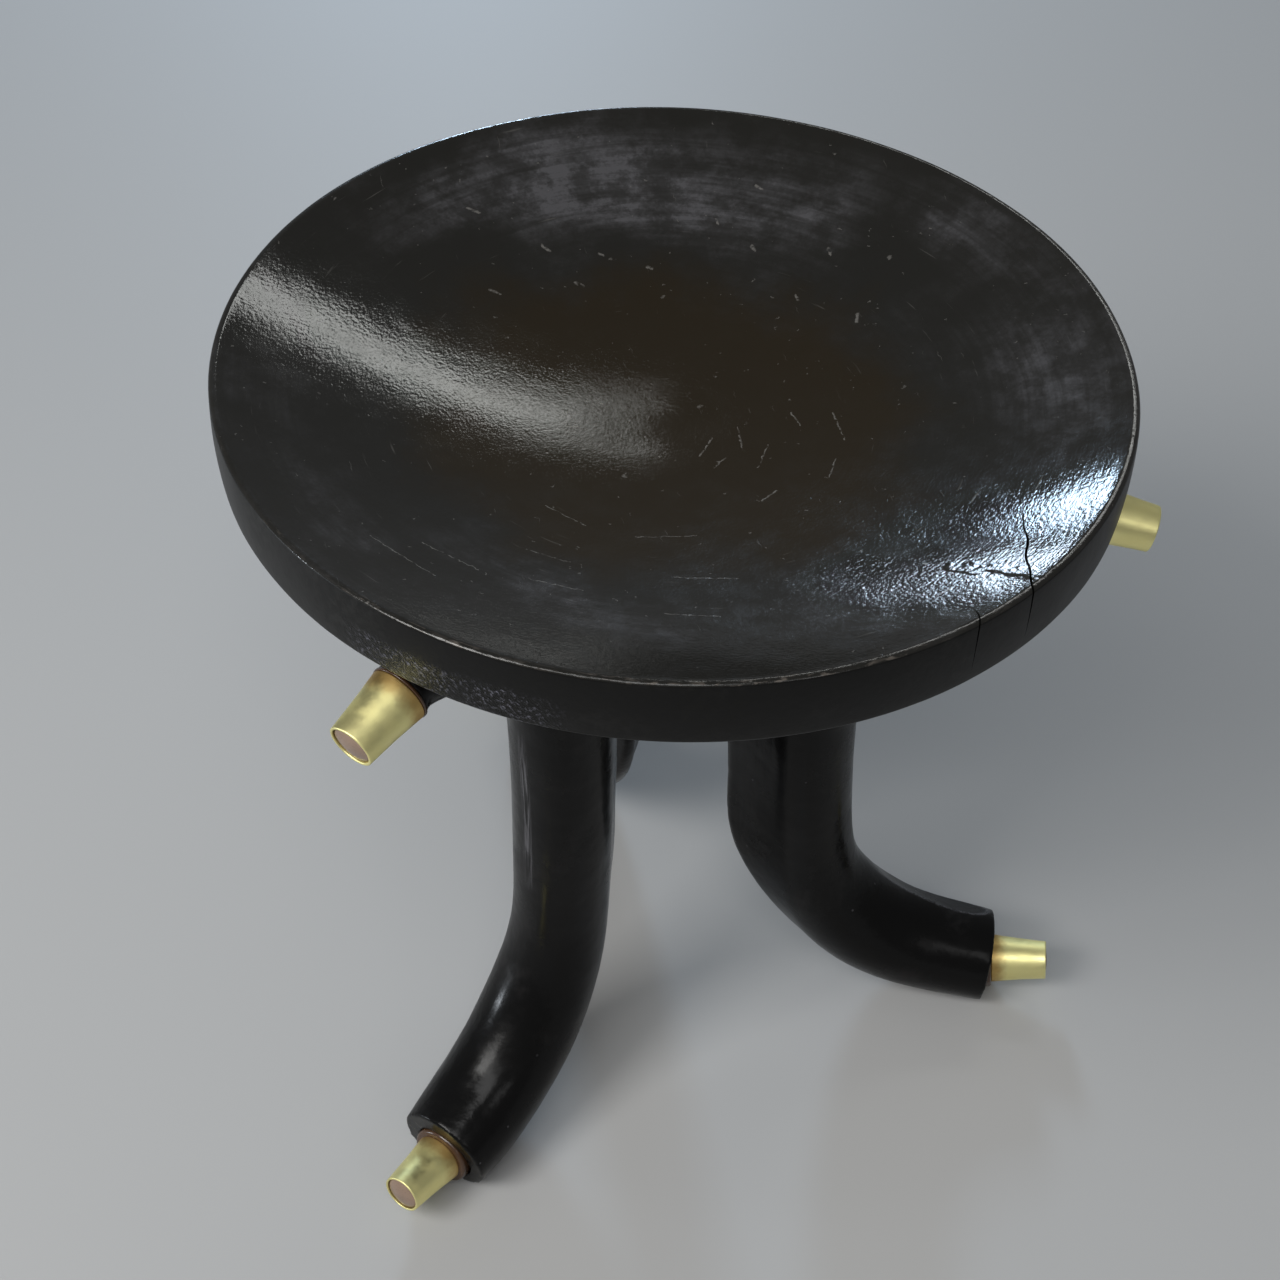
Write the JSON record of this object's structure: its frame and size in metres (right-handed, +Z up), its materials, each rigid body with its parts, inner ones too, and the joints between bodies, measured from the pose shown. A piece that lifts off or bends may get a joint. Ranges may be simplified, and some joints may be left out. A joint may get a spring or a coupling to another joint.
{
  "type": "stool",
  "caption": "Low carved wooden stool with a round dished seat on inward-bowed legs, whose feet and upper spurs end in tapered brass ferrules over wooden pegs.",
  "frame": {"origin": "on the floor, under the middle of the seat", "axes": "+Z up along the seat's axis, +X along the foot of the right leg, Y by the right-hand rule"},
  "size_m": [0.4036, 0.3826, 0.407],
  "materials": {
    "ebonised_wood": "worn dark lacquer",
    "peg_wood": "turned and oiled",
    "brass": "polished, tarnished"
  },
  "bodies": {
    "root": {"seat": "ebonised_wood", "leg_right": "ebonised_wood", "foot_peg_right": "peg_wood", "foot_ferrule_right": "brass", "spur_peg_right": "peg_wood", "spur_ferrule_right": "brass", "leg_back": "ebonised_wood", "foot_peg_back": "peg_wood", "foot_ferrule_back": "brass", "spur_peg_back": "peg_wood", "spur_ferrule_back": "brass", "leg_left": "ebonised_wood", "foot_peg_left": "peg_wood", "foot_ferrule_left": "brass", "spur_peg_left": "peg_wood", "spur_ferrule_left": "brass"}
  },
  "joints": []
}
